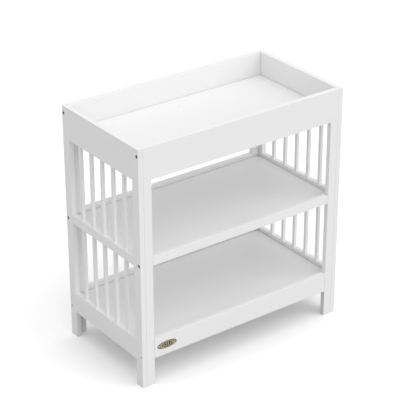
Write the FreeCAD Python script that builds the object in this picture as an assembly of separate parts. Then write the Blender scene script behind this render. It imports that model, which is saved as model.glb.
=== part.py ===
import FreeCAD, Part
import math
import os
from collections import namedtuple

from FreeCAD import Vector

# Changing table: an open tray on top, two shelves below, and slatted end frames on L-shaped legs.
# Frame: X along the front (left is -X), Y towards the back, Z up, origin on the floor in the middle.
# All sizes are in millimetres.

# Overall size
WIDTH = 875.0
DEPTH = 462.0
HEIGHT = 914.0

# Boards and legs
BOARD = 19.0              # thickness of every frame board
POST_DEPTH = 38.0         # a post's size along Y
STRIP_WIDTH = 33.0        # a leg strip's size along X
EASE = 1.0                # radius of the eased edges
SLAT_EASE = 0.8           # radius of a slat's long edges
CLEAT_EASE = 0.8          # radius of a cleat's edges

# Heights of the horizontal members
TRAY_BOX_BOTTOM = 793.0
MIDDLE_RAIL_BOTTOM = 472.0
MIDDLE_RAIL_TOP = 506.0
BOTTOM_APRON_BOTTOM = 105.0
BOTTOM_APRON_TOP = 184.0

# Slats in the end frames
SLAT = 12.0
SLATS_PER_OPENING = 5
TENON = 8.0
TENON_LENGTH = 9.0
MORTISE_CLEARANCE = 1.0   # depth left under a tenon

# Panels: the height of the upper face, the thickness and the gap to the frame
Panel = namedtuple("Panel", "top thickness gap ease")
TRAY_FLOOR = Panel(top=824.0, thickness=12.0, gap=0.6, ease=0.5)
MIDDLE_SHELF = Panel(top=492.0, thickness=9.0, gap=2.0, ease=0.5)
LOWER_SHELF = Panel(top=169.0, thickness=9.0, gap=2.0, ease=0.5)

# Cleats under the panels
Cleat = namedtuple("Cleat", "height width")
TRAY_CLEAT = Cleat(height=18.0, width=18.0)
MIDDLE_CLEAT = Cleat(height=11.0, width=16.0)
LOWER_CLEAT = Cleat(height=16.0, width=16.0)
CLEAT_HALF_LENGTH = 400.0
CLEAT_END_GAP = 4.0       # between a long cleat and an end cleat

# Hole for the screw of the pad's safety strap
STRAP_HOLE_RADIUS = 2.5
STRAP_HOLE_INSET = 60.0   # from the rear apron's inner face

# Bolts that hold the long members to the end frames
Bolt = namedtuple("Bolt", "radius shank head_radius head_height socket recess_radius recess_depth "
                          "insert_radius insert_length")
LARGE_BOLT = Bolt(radius=3.0, shank=70.0, head_radius=6.0, head_height=4.5, socket=4.0,
                  recess_radius=6.5, recess_depth=6.0, insert_radius=5.0, insert_length=20.0)
TRAY_BOLT = LARGE_BOLT._replace(shank=45.0)
SMALL_BOLT = Bolt(radius=2.5, shank=70.0, head_radius=3.7, head_height=4.0, socket=3.0,
                  recess_radius=4.0, recess_depth=5.5, insert_radius=4.5, insert_length=20.0)
TRAY_BOLT_Z = HEIGHT - 27.0
MIDDLE_BOLT_Z = 482.0
LOWER_BOLT_Z = 121.0
THREAD_CLEARANCE = 0.05   # between a bolt and its insert, threads left plain
SHANK_CLEARANCE = 0.3
INSERT_SETBACK = 1.0      # an insert's mouth behind the end of its rail
BOLT_HOLE_SPARE = 3.0     # hole depth past the bolt's tip
SOCKET_DEPTH = 2.5

# Dowels
DOWEL_RADIUS = 4.0
DOWEL_LENGTH = 30.0
DOWEL_HOLE_SPARE = 1.0
DOWEL_IN_BOARD = 12.0     # length in a board that is entered through its 19 mm face
BOTTOM_END_DOWEL_Z = 24.0          # bottom end rail: above and below its middle
MIDDLE_END_DOWEL_Z = 8.0           # middle end rail: above and below its middle
BOTTOM_APRON_DOWEL_Z = 22.0        # bottom apron: above its middle, clear of the bolt
MIDDLE_RAIL_DOWEL_Z = 9.0          # middle rail: above its middle, clear of the bolt
POST_TOP_DOWEL_INSETS = (10.0, 28.0)    # post to tray end board: from the outer face
STRIP_DOWEL_Z = (60.0, 300.0, 650.0)    # leg strip to post: from the floor
TRAY_APRON_DOWEL_Z = (820.0, 855.0)     # tray apron to tray end board: from the floor

# Screws: shank radius, head radius and the length of the countersunk head
SCREW_RADIUS = 2.0
SCREW_HEAD_RADIUS = 4.0
SCREW_HEAD_LENGTH = 3.0
CLEAT_SCREW_BITE = 12.0   # length in the board behind the cleat
PANEL_SCREW_BITE = 6.0    # length in the panel above the cleat
CLEAT_SCREW_X = (-300.0, -100.0, 100.0, 300.0)
PANEL_SCREW_X = (-200.0, 200.0)
PANEL_SCREW_INSET = 11.0

# Oval badge on the front bottom apron
BADGE_LENGTH = 82.0
BADGE_HEIGHT = 29.0
BADGE_THICKNESS = 1.2
BADGE_RIM_WIDTH = 2.2
BADGE_RIM_RISE = 0.6
BADGE_FROM_STRIP = 52.5   # badge centre to the left leg strip
BADGE_PIN_RADIUS = 0.8
BADGE_PIN_LENGTH = 8.0
BADGE_PIN_X = 26.0
BADGE_PIN_HEAD_RADIUS = 1.5
BADGE_PIN_HEAD_RISE = 0.4

# Places that follow from the sizes above
HALF_WIDTH = WIDTH / 2
HALF_DEPTH = DEPTH / 2
INNER_X = HALF_WIDTH - BOARD              # inner face of the end frames
INNER_Y = HALF_DEPTH - BOARD              # inner face of the aprons and rails
STRIP_INNER_X = INNER_X - STRIP_WIDTH     # inner edge of the leg strips
POST_INNER_Y = HALF_DEPTH - POST_DEPTH    # inner edge of the posts
POST_CENTRE_X = HALF_WIDTH - BOARD / 2
RAIL_CENTRE_Y = HALF_DEPTH - BOARD / 2
SLAT_PITCH = (2 * POST_INNER_Y + SLAT) / (SLATS_PER_OPENING + 1)
END_CLEAT_SCREW_Y = 1.5 * SLAT_PITCH
BADGE_X = -STRIP_INNER_X + BADGE_FROM_STRIP
BADGE_Z = (BOTTOM_APRON_BOTTOM + BOTTOM_APRON_TOP) / 2

SIDES = {"left": -1, "right": 1}
FACES = {"front": -1, "rear": 1}
X_AXIS = Vector(1, 0, 0)
Y_AXIS = Vector(0, 1, 0)
Z_AXIS = Vector(0, 0, 1)


def block(xs, ys, zs):
    """A box between two values on each axis, given in either order."""
    low = Vector(min(xs), min(ys), min(zs))
    high = Vector(max(xs), max(ys), max(zs))
    size = high - low
    return Part.makeBox(size.x, size.y, size.z, low)


def eased(solid, radius=EASE):
    """The solid with every edge rounded."""
    return solid.makeFillet(radius, solid.Edges)


def board(xs, ys, zs, radius=EASE):
    """A box-shaped board with eased edges."""
    return eased(block(xs, ys, zs), radius)


def rod(start, direction, length, radius):
    """A round rod from start along direction."""
    return Part.makeCylinder(radius, length, start, direction)


def screw(head_centre, direction, length):
    """A countersunk screw with its head's flat face at head_centre."""
    head = Part.makeCone(SCREW_HEAD_RADIUS, SCREW_RADIUS, SCREW_HEAD_LENGTH, head_centre, direction)
    return head.fuse(rod(head_centre, direction, length, SCREW_RADIUS)).removeSplitter()


def drilled(solid, tools):
    """The solid with every tool that reaches it cut away."""
    near = [tool for tool in tools if tool.BoundBox.intersect(solid.BoundBox)]
    return solid.cut(near).removeSplitter() if near else solid


# ---- Slats ---------------------------------------------------------------------------------

def slat_openings():
    """The lower and upper opening of an end frame, as names with their heights."""
    return {"lower": (BOTTOM_APRON_TOP, MIDDLE_RAIL_BOTTOM),
            "upper": (MIDDLE_RAIL_TOP, TRAY_BOX_BOTTOM)}


def slat_shape(x, y, low, high, tenon_length):
    """A square slat with a square tenon at each end."""
    half = SLAT / 2
    vertical = block((x - half, x + half), (y - half, y + half), (low, high))
    long_edges = [e for e in vertical.Edges if abs(e.Vertexes[0].Z - e.Vertexes[1].Z) > SLAT]
    body = vertical.makeFillet(SLAT_EASE, long_edges)
    core = TENON / 2
    tenons = block((x - core, x + core), (y - core, y + core),
                   (low - tenon_length, high + tenon_length))
    return body.fuse(tenons).removeSplitter()


def slat_places():
    """Name, x, y and the opening's heights for every slat."""
    middle = (SLATS_PER_OPENING + 1) / 2
    for side, sign in SIDES.items():
        for opening, (low, high) in slat_openings().items():
            for number in range(1, SLATS_PER_OPENING + 1):
                y = (number - middle) * SLAT_PITCH
                yield f"{side}_{opening}_slat_{number}", sign * POST_CENTRE_X, y, low, high


def make_slats():
    return {name: slat_shape(x, y, low, high, TENON_LENGTH)
            for name, x, y, low, high in slat_places()}


def mortise_tools():
    """One square bar per slat, as long as the slat with the clearance under its tenons."""
    core = TENON / 2
    reach = TENON_LENGTH + MORTISE_CLEARANCE
    return [block((x - core, x + core), (y - core, y + core), (low - reach, high + reach))
            for _, x, y, low, high in slat_places()]


# ---- Bolts and their inserts ---------------------------------------------------------------

def bolt_places():
    """Bolt size, side, face, height and the x of the rail's end, for every bolt."""
    for side in SIDES.values():
        for face in FACES.values():
            yield TRAY_BOLT, side, face, TRAY_BOLT_Z, INNER_X
            yield LARGE_BOLT, side, face, MIDDLE_BOLT_Z, STRIP_INNER_X
            yield SMALL_BOLT, side, face, LOWER_BOLT_Z, STRIP_INNER_X


def bolt_seat(bolt, side, face, z):
    """Centre of the bolt head's bearing face, at the bottom of its recess."""
    return Vector(side * (HALF_WIDTH - bolt.recess_depth), face * RAIL_CENTRE_Y, z)


def bolt_shape(bolt, side, face, z):
    """A bolt with a cylindrical head and a hexagonal socket."""
    inward = X_AXIS * -side
    seat = bolt_seat(bolt, side, face, z)
    head_top = seat - inward * bolt.head_height
    body = rod(seat, inward, bolt.shank, bolt.radius)
    head = rod(head_top, inward, bolt.head_height, bolt.head_radius)
    corner_radius = bolt.socket / math.sqrt(3)
    corners = [head_top + Vector(0, corner_radius * math.cos(math.radians(angle)),
                                 corner_radius * math.sin(math.radians(angle)))
               for angle in range(0, 361, 60)]
    socket = Part.Face(Part.makePolygon(corners)).extrude(inward * SOCKET_DEPTH)
    return head.fuse(body).removeSplitter().cut(socket)


def insert_mouth(side, face, z, rail_end):
    return Vector(side * (rail_end - INSERT_SETBACK), face * RAIL_CENTRE_Y, z)


def insert_shape(bolt, side, face, z, rail_end):
    """A threaded sleeve in the end grain of a rail, with a plain bore."""
    inward = X_AXIS * -side
    mouth = insert_mouth(side, face, z, rail_end)
    sleeve = rod(mouth, inward, bolt.insert_length, bolt.insert_radius)
    return sleeve.cut(rod(mouth, inward, bolt.insert_length, bolt.radius + THREAD_CLEARANCE))


def bolt_hole_tools():
    """Recess, clearance hole and insert hole for every bolt."""
    tools = []
    for bolt, side, face, z, rail_end in bolt_places():
        inward = X_AXIS * -side
        seat = bolt_seat(bolt, side, face, z)
        surface = seat - inward * bolt.recess_depth
        mouth = insert_mouth(side, face, z, rail_end)
        tools.append(rod(surface, inward, bolt.recess_depth, bolt.recess_radius))
        tools.append(rod(seat, inward, bolt.shank + BOLT_HOLE_SPARE,
                         bolt.radius + SHANK_CLEARANCE))
        tools.append(rod(mouth - inward * INSERT_SETBACK, inward,
                         INSERT_SETBACK + bolt.insert_length, bolt.insert_radius))
    return tools


def make_bolts():
    """Large bolts, small bolts and inserts, as three lists of solids."""
    large, small, inserts = [], [], []
    for bolt, side, face, z, rail_end in bolt_places():
        group = small if bolt is SMALL_BOLT else large
        group.append(bolt_shape(bolt, side, face, z))
        inserts.append(insert_shape(bolt, side, face, z, rail_end))
    return large, small, inserts


# ---- Dowels --------------------------------------------------------------------------------

def dowel_places():
    """Start and direction of every dowel. The first length of it is in a face-bored board."""
    half_length = DOWEL_LENGTH / 2
    bottom_mid = (BOTTOM_APRON_BOTTOM + BOTTOM_APRON_TOP) / 2
    middle_mid = (MIDDLE_RAIL_BOTTOM + MIDDLE_RAIL_TOP) / 2
    end_rail_heights = (bottom_mid - BOTTOM_END_DOWEL_Z, bottom_mid + BOTTOM_END_DOWEL_Z,
                        middle_mid - MIDDLE_END_DOWEL_Z, middle_mid + MIDDLE_END_DOWEL_Z)
    for side in SIDES.values():
        inward = X_AXIS * -side
        for face in FACES.values():
            towards_middle = Y_AXIS * -face
            for z in end_rail_heights:
                start = Vector(side * POST_CENTRE_X, face * (POST_INNER_Y + half_length), z)
                yield start, towards_middle
            for inset in POST_TOP_DOWEL_INSETS:
                start = Vector(side * POST_CENTRE_X, face * (HALF_DEPTH - inset),
                               TRAY_BOX_BOTTOM + DOWEL_IN_BOARD)
                yield start, Z_AXIS * -1
            for z in STRIP_DOWEL_Z + TRAY_APRON_DOWEL_Z:
                yield Vector(side * (INNER_X + DOWEL_IN_BOARD), face * RAIL_CENTRE_Y, z), inward
            for z in (bottom_mid + BOTTOM_APRON_DOWEL_Z, middle_mid + MIDDLE_RAIL_DOWEL_Z):
                yield Vector(side * (STRIP_INNER_X + half_length), face * RAIL_CENTRE_Y, z), inward


def make_dowels():
    return [rod(start, direction, DOWEL_LENGTH, DOWEL_RADIUS)
            for start, direction in dowel_places()]


def dowel_hole_tools():
    """Dowel holes, a little deeper than the dowels at both ends."""
    return [rod(start - direction * DOWEL_HOLE_SPARE, direction,
                DOWEL_LENGTH + 2 * DOWEL_HOLE_SPARE, DOWEL_RADIUS)
            for start, direction in dowel_places()]


# ---- Cleats, panels and their screws -------------------------------------------------------

def supports():
    """Name, panel and cleat of each of the three levels."""
    return (("tray", TRAY_FLOOR, TRAY_CLEAT), ("middle", MIDDLE_SHELF, MIDDLE_CLEAT),
            ("lower", LOWER_SHELF, LOWER_CLEAT))


def cleat_heights(panel, cleat):
    top = panel.top - panel.thickness
    return top - cleat.height, top


def make_cleats(tools):
    """One long cleat per rail, and a pair of end cleats, at each level."""
    nodes = {}
    for level, panel, cleat in supports():
        zs = cleat_heights(panel, cleat)
        for face_name, face in FACES.items():
            ys = (face * (INNER_Y - cleat.width), face * INNER_Y)
            long_cleat = board((-CLEAT_HALF_LENGTH, CLEAT_HALF_LENGTH), ys, zs, CLEAT_EASE)
            nodes[f"{face_name}_{level}_cleat"] = drilled(long_cleat, tools)
        reach = INNER_Y - cleat.width - CLEAT_END_GAP
        nodes[f"{level}_end_cleats"] = [
            drilled(board((side * (INNER_X - cleat.width), side * INNER_X), (-reach, reach), zs,
                          CLEAT_EASE), tools)
            for side in SIDES.values()]
    return nodes


def make_panel(panel, tools):
    half_x = INNER_X - panel.gap
    half_y = INNER_Y - panel.gap
    sheet = board((-half_x, half_x), (-half_y, half_y),
                  (panel.top - panel.thickness, panel.top), panel.ease)
    return drilled(sheet, tools)


def strap_hole_tool():
    """The through hole in the tray floor for the strap's screw."""
    start = Vector(0, INNER_Y - STRAP_HOLE_INSET, TRAY_FLOOR.top - TRAY_FLOOR.thickness)
    return rod(start, Z_AXIS, TRAY_FLOOR.thickness, STRAP_HOLE_RADIUS)


def make_cleat_screws():
    """Screws through the cleats into the boards behind them."""
    screws = []
    for _, panel, cleat in supports():
        z = sum(cleat_heights(panel, cleat)) / 2
        length = cleat.width + CLEAT_SCREW_BITE
        for face in FACES.values():
            for x in CLEAT_SCREW_X:
                screws.append(screw(Vector(x, face * (INNER_Y - cleat.width), z), Y_AXIS * face, length))
        for side in SIDES.values():
            for y in (-END_CLEAT_SCREW_Y, END_CLEAT_SCREW_Y):
                screws.append(screw(Vector(side * (INNER_X - cleat.width), y, z), X_AXIS * side, length))
    return screws


def make_panel_screws():
    """Screws up through the long cleats into the panels."""
    screws = []
    for _, panel, cleat in supports():
        low, _ = cleat_heights(panel, cleat)
        for face in FACES.values():
            for x in PANEL_SCREW_X:
                start = Vector(x, face * (INNER_Y - PANEL_SCREW_INSET), low)
                screws.append(screw(start, Z_AXIS, cleat.height + PANEL_SCREW_BITE))
    return screws


# ---- End frames ----------------------------------------------------------------------------

def make_legs(tools):
    """The post and the strip of each leg."""
    nodes = {}
    for side_name, side in SIDES.items():
        for face_name, face in FACES.items():
            post = board((side * INNER_X, side * HALF_WIDTH),
                         (face * POST_INNER_Y, face * HALF_DEPTH), (0, TRAY_BOX_BOTTOM))
            strip = board((side * STRIP_INNER_X, side * INNER_X),
                          (face * INNER_Y, face * HALF_DEPTH), (0, TRAY_BOX_BOTTOM))
            nodes[f"{side_name}_{face_name}_post"] = drilled(post, tools)
            nodes[f"{side_name}_{face_name}_leg_strip"] = drilled(strip, tools)
    return nodes


def make_end_boards(tools):
    """The tray end board and the two end rails of each end frame."""
    nodes = {}
    for side_name, side in SIDES.items():
        xs = (side * INNER_X, side * HALF_WIDTH)
        members = {
            "tray_end_board": ((-HALF_DEPTH, HALF_DEPTH), (TRAY_BOX_BOTTOM, HEIGHT)),
            "middle_end_rail": ((-POST_INNER_Y, POST_INNER_Y), (MIDDLE_RAIL_BOTTOM, MIDDLE_RAIL_TOP)),
            "bottom_end_rail": ((-POST_INNER_Y, POST_INNER_Y), (BOTTOM_APRON_BOTTOM, BOTTOM_APRON_TOP)),
        }
        for name, (ys, zs) in members.items():
            nodes[f"{side_name}_{name}"] = drilled(board(xs, ys, zs), tools)
    return nodes


# ---- Long members --------------------------------------------------------------------------

def make_long_members(tools):
    """The aprons and rails along the front and the rear."""
    members = {
        "tray_apron": (INNER_X, (TRAY_BOX_BOTTOM, HEIGHT)),
        "middle_rail": (STRIP_INNER_X, (MIDDLE_RAIL_BOTTOM, MIDDLE_RAIL_TOP)),
        "bottom_apron": (STRIP_INNER_X, (BOTTOM_APRON_BOTTOM, BOTTOM_APRON_TOP)),
    }
    nodes = {}
    for face_name, face in FACES.items():
        ys = (face * INNER_Y, face * HALF_DEPTH)
        for name, (half_length, zs) in members.items():
            member = board((-half_length, half_length), ys, zs)
            nodes[f"{face_name}_{name}"] = drilled(member, tools)
    return nodes


# ---- Badge ---------------------------------------------------------------------------------

def oval_plate(length, height, front_y, back_y):
    """A flat oval standing on the apron's face, between two values of y."""
    centre = Vector(BADGE_X, front_y, BADGE_Z)
    ellipse = Part.Ellipse(centre + X_AXIS * (length / 2), centre + Z_AXIS * (height / 2), centre)
    face = Part.Face(Part.Wire([ellipse.toShape()]))
    return face.extrude(Vector(0, back_y - front_y, 0))


def make_badge():
    """The badge plate with its raised rim, and the two pins that hold it."""
    field_y = -HALF_DEPTH - BADGE_THICKNESS
    rim_y = field_y - BADGE_RIM_RISE
    plate = oval_plate(BADGE_LENGTH, BADGE_HEIGHT, rim_y, -HALF_DEPTH)
    field = oval_plate(BADGE_LENGTH - 2 * BADGE_RIM_WIDTH, BADGE_HEIGHT - 2 * BADGE_RIM_WIDTH,
                       rim_y, field_y)
    pins = []
    for offset in (-BADGE_PIN_X, BADGE_PIN_X):
        start = Vector(BADGE_X + offset, field_y, BADGE_Z)
        shank = rod(start, Y_AXIS, BADGE_PIN_LENGTH, BADGE_PIN_RADIUS)
        head = rod(start - Y_AXIS * BADGE_PIN_HEAD_RISE, Y_AXIS, BADGE_PIN_HEAD_RISE,
                   BADGE_PIN_HEAD_RADIUS)
        pins.append(head.fuse(shank).removeSplitter())
    return drilled(plate.cut(field), pins), pins


def write_step(name, shape):
    """Write one node, a solid or a list of separate solids."""
    if isinstance(shape, list):
        shape = Part.makeCompound(shape)
    shape.exportStep(f"parts/{name}.step")


def main():
    os.makedirs("parts", exist_ok=True)
    badge_plate, badge_pins = make_badge()
    large_bolts, small_bolts, inserts = make_bolts()
    cleat_screws = make_cleat_screws()
    panel_screws = make_panel_screws()
    screws = cleat_screws + panel_screws
    frame_tools = (mortise_tools() + bolt_hole_tools() + dowel_hole_tools() + cleat_screws
                   + badge_pins)

    nodes = {}
    nodes.update(make_legs(frame_tools))
    nodes.update(make_end_boards(frame_tools))
    nodes.update(make_long_members(frame_tools))
    nodes.update(make_slats())
    nodes.update(make_cleats(screws))
    nodes["tray_floor"] = make_panel(TRAY_FLOOR, panel_screws + [strap_hole_tool()])
    nodes["middle_shelf"] = make_panel(MIDDLE_SHELF, panel_screws)
    nodes["lower_shelf"] = make_panel(LOWER_SHELF, panel_screws)
    nodes["large_connector_bolts"] = large_bolts
    nodes["small_connector_bolts"] = small_bolts
    nodes["insert_nuts"] = inserts
    nodes["dowels"] = make_dowels()
    nodes["cleat_screws"] = cleat_screws
    nodes["panel_screws"] = panel_screws
    nodes["badge_plate"] = badge_plate
    nodes["badge_pins"] = badge_pins
    for name, shape in nodes.items():
        write_step(name, shape)
    print(f"{len(nodes)} nodes written")


main()
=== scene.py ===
"""The looks of a white changing table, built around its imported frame.

Lengths are in metres. X runs along the front, Y towards the back and Z up, as in the frame.
"""

import logging
import math
from abc import ABC, abstractmethod
from dataclasses import dataclass, field, replace
from enum import Enum
from typing import Any, Callable, Iterable, Sequence

import bmesh
import bpy
from mathutils import Matrix, Vector


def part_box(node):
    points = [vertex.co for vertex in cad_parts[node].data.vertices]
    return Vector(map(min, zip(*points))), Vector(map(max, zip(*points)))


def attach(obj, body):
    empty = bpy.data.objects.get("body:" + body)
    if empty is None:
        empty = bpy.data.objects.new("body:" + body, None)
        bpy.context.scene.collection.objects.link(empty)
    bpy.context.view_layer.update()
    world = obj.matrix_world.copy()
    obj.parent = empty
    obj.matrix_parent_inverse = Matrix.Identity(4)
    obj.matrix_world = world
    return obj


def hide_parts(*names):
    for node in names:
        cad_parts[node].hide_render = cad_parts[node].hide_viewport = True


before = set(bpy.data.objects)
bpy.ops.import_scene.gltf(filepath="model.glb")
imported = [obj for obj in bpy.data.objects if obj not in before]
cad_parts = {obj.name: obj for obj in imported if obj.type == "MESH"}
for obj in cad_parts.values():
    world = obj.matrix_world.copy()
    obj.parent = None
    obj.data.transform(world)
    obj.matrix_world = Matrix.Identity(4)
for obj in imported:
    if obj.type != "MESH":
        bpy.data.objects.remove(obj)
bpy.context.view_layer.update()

LOG = logging.getLogger("changing_table")
ROOT = "root"            # the only body: nothing on the table moves
MM = 0.001
WELD = 0.001 * MM        # vertices closer than this are one
OVERSHOOT = 1 * MM       # how far a cutter stands out of the face that it cuts
Point = tuple[float, float, float]
Colour = tuple[float, float, float, float]
Flat = tuple[float, float]                # a point in a plane
Span = tuple[float, float]                # the two ends of a range
Ring = list[bmesh.types.BMVert]
Places = list[tuple[Vector, Vector]]      # pairs of a place and the way that a head faces
Piece = bpy.types.Object
Mesh = bpy.types.Mesh
Node = bpy.types.Node
Socket = bpy.types.NodeSocket


class Axis(Enum):
    """An axis of the frame, by its place in a vector."""

    X = 0
    Y = 1
    Z = 2


class Side(Enum):
    """An end of the table, with its sign along X."""

    LEFT = -1
    RIGHT = 1


class Face(Enum):
    """The front or the rear of the table, with its sign along Y."""

    FRONT = -1
    REAR = 1


class Level(Enum):
    """A level of the table that holds a panel, with its place in node names."""

    TRAY = "tray"
    MIDDLE = "middle"
    LOWER = "lower"


# ---- Node trees ----------------------------------------------------------------------------

class NodeSheet:
    """A node tree that is filled with short calls."""

    def __init__(self, tree: bpy.types.NodeTree) -> None:
        """Wrap a node tree.

        Args:
            tree: the tree that new nodes go into.
        """
        self.tree = tree

    def add(self, kind: str, inputs: dict[str | int, Any] | None = None,
            **settings: Any) -> Node:
        """Add a node.

        Args:
            kind: Blender's name for the node type.
            inputs: as for feed.
            **settings: the node's own properties.

        Returns:
            The new node.
        """
        node = self.tree.nodes.new(kind)
        for name, value in settings.items():
            setattr(node, name, value)
        self.feed(node, inputs or {})
        return node

    def out(self, kind: str, output: str | int, inputs: dict[str | int, Any] | None = None,
            **settings: Any) -> Socket:
        """Add a node and hand on one of its outputs.

        Args:
            kind: Blender's name for the node type.
            output: the output's name or number.
            inputs: as for feed.
            **settings: the node's own properties.

        Returns:
            The output's socket.
        """
        return self.add(kind, inputs, **settings).outputs[output]

    def feed(self, node: Node, inputs: dict[str | int, Any]) -> None:
        """Set a node's inputs, or link other sockets to them.

        Args:
            node: the node to feed.
            inputs: socket name or number to a value, or to the socket that feeds it.
        """
        for name, value in inputs.items():
            if isinstance(value, Socket):
                self.tree.links.new(value, node.inputs[name])
            else:
                node.inputs[name].default_value = value

    def mix(self, factor: Any, first: Any, second: Any) -> Socket:
        """Mix two colours.

        Args:
            factor: the share of the second colour, a number or a socket.
            first: the colour at a factor of 0.
            second: the colour at a factor of 1.

        Returns:
            The mixed colour's socket.
        """
        return self.out("ShaderNodeMix", 2, {0: factor, 6: first, 7: second}, data_type="RGBA")

    def span(self, value: Any, low: float, high: float, source: Span = (0.0, 1.0)) -> Socket:
        """Map a value from one range to another, and clamp it.

        Args:
            value: the socket to map.
            low: the result at the source's low end.
            high: the result at the source's high end.
            source: the range that the value comes in.

        Returns:
            The mapped value's socket.
        """
        return self.out("ShaderNodeMapRange", "Result",
                        {"Value": value, "From Min": source[0], "From Max": source[1],
                         "To Min": low, "To Max": high})

    def noise(self, scale: float, detail: float = 3.0, stretch: Point = (1.0, 1.0, 1.0),
              roughness: float = 0.5) -> Socket:
        """Noise on the piece's own coordinates.

        Args:
            scale: features per metre.
            detail: octaves of finer noise.
            stretch: how much finer the noise is along each axis.
            roughness: the strength of the finer octaves.

        Returns:
            The noise value's socket.
        """
        place = self.out("ShaderNodeTexCoord", "Object")
        mapped = self.out("ShaderNodeMapping", "Vector", {"Vector": place, "Scale": stretch})
        return self.out("ShaderNodeTexNoise", "Fac", {"Vector": mapped, "Scale": scale,
                                                      "Detail": detail, "Roughness": roughness})


class Grower:
    """A Geometry Nodes tree with named inputs, which makes plain mesh objects."""

    def __init__(self, name: str) -> None:
        """Start an empty tree with a mesh coming in and a mesh going out.

        Args:
            name: the tree's name.
        """
        self.group = bpy.data.node_groups.new(name, "GeometryNodeTree")
        self.sheet = NodeSheet(self.group)
        self.identifiers: dict[str, str] = {}
        self.group.interface.new_socket("Geometry", in_out="INPUT", socket_type="NodeSocketGeometry")
        self.group.interface.new_socket("Geometry", in_out="OUTPUT", socket_type="NodeSocketGeometry")
        self.entry = self.sheet.add("NodeGroupInput")
        self.exit = self.sheet.add("NodeGroupOutput")

    def inputs(self, **kinds: str) -> list[Socket]:
        """Add named inputs.

        Args:
            **kinds: each input's name, with underscores for spaces, and its socket type without
                the leading "NodeSocket".

        Returns:
            The sockets that carry them inside the tree.
        """
        for key, kind in kinds.items():
            item = self.group.interface.new_socket(key.replace("_", " "), in_out="INPUT",
                                                   socket_type="NodeSocket" + kind)
            self.identifiers[key] = item.identifier
        return [self.entry.outputs[key.replace("_", " ")] for key in kinds]

    def attribute(self, name: str, kind: str) -> Socket:
        """The value that each incoming point holds under a name."""
        return self.sheet.out("GeometryNodeInputNamedAttribute", "Attribute", {"Name": name},
                              data_type=kind)

    def copies(self, points: Socket, shape: Socket, **placing: Socket) -> Socket:
        """Set a copy of a shape at each point.

        Args:
            points: the geometry that holds the points.
            shape: the shape to copy.
            **placing: the copies' Rotation and Scale, where they vary.

        Returns:
            The socket of the copies.
        """
        return self.sheet.out("GeometryNodeInstanceOnPoints", "Instances",
                              {"Points": points, "Instance": shape, **placing})

    def end(self, instances: Socket) -> None:
        """Close the tree: realize the instances and give them the finish.

        Args:
            instances: the geometry to hand on.
        """
        finish, = self.inputs(Finish="Material")
        real = self.sheet.out("GeometryNodeRealizeInstances", "Geometry", {"Geometry": instances})
        dressed = self.sheet.out("GeometryNodeSetMaterial", "Geometry",
                                 {"Geometry": real, "Material": finish})
        self.sheet.feed(self.exit, {"Geometry": dressed})

    def grow(self, name: str, finish: "Finish", seed_mesh: Mesh | None = None, **values: Any) -> Piece:
        """Run the tree and keep the result as a plain mesh.

        Args:
            name: the new piece's name.
            finish: the piece's finish.
            seed_mesh: the mesh that goes into the tree, if it reads one.
            **values: the tree's inputs, with underscores for spaces.

        Returns:
            A mesh object with no modifiers.
        """
        seed = new_object(name + "_seed", seed_mesh or bpy.data.meshes.new(name + "_seed"))
        modifier = seed.modifiers.new("grow", "NODES")
        modifier.node_group = self.group
        modifier[self.identifiers["Finish"]] = finish.material()
        for key, value in values.items():
            modifier[self.identifiers[key]] = value
        mesh = evaluated_mesh(seed)
        remove(seed)
        face_outwards(mesh)
        crisp(mesh)
        mesh.name = name
        return new_object(name, mesh)


# ---- Finishes ------------------------------------------------------------------------------

def grey(shade: float) -> Colour:
    """An opaque grey."""
    return (shade, shade, shade, 1.0)


@dataclass(frozen=True)
class Finish(ABC):
    """A surface finish: a slot name and a node material, made once."""

    slot = ""

    @property
    def name(self) -> str:
        """The material's name."""
        return type(self).__name__

    def material(self) -> bpy.types.Material:
        """The node material, built the first time it is asked for."""
        found = bpy.data.materials.get(self.name)
        if found:
            return found
        material = bpy.data.materials.new(self.name)
        material.use_nodes = True
        self.coat(NodeSheet(material.node_tree), material.node_tree.nodes["Principled BSDF"])
        return material

    @abstractmethod
    def coat(self, sheet: NodeSheet, shader: Node) -> None:
        """Fill the material's tree.

        Args:
            sheet: the material's node tree.
            shader: its Principled shader.
        """

    @staticmethod
    def bump(sheet: NodeSheet, shader: Node, layers: Iterable[tuple[Socket, float]]) -> None:
        """Stack bump layers on the shader.

        Args:
            sheet: the material's node tree.
            shader: its Principled shader.
            layers: pairs of a height socket and the height of its relief in metres.
        """
        previous = None
        for height, relief in layers:
            under = {"Normal": previous} if previous else {}
            previous = sheet.out("ShaderNodeBump", "Normal",
                                 {"Height": height, "Distance": relief, "Strength": 1.0, **under})
        sheet.feed(shader, {"Normal": previous})


@dataclass(frozen=True, kw_only=True)
class WhitePaint(Finish):
    """White satin paint, with slow clouds in its tone."""

    light: float = 0.84
    dull: float = 0.82

    def tone(self, sheet: NodeSheet, clouds: Socket) -> Socket:
        """The paint's colour, from the noise of its clouds."""
        return sheet.mix(clouds, grey(self.dull), grey(self.light))


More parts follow.
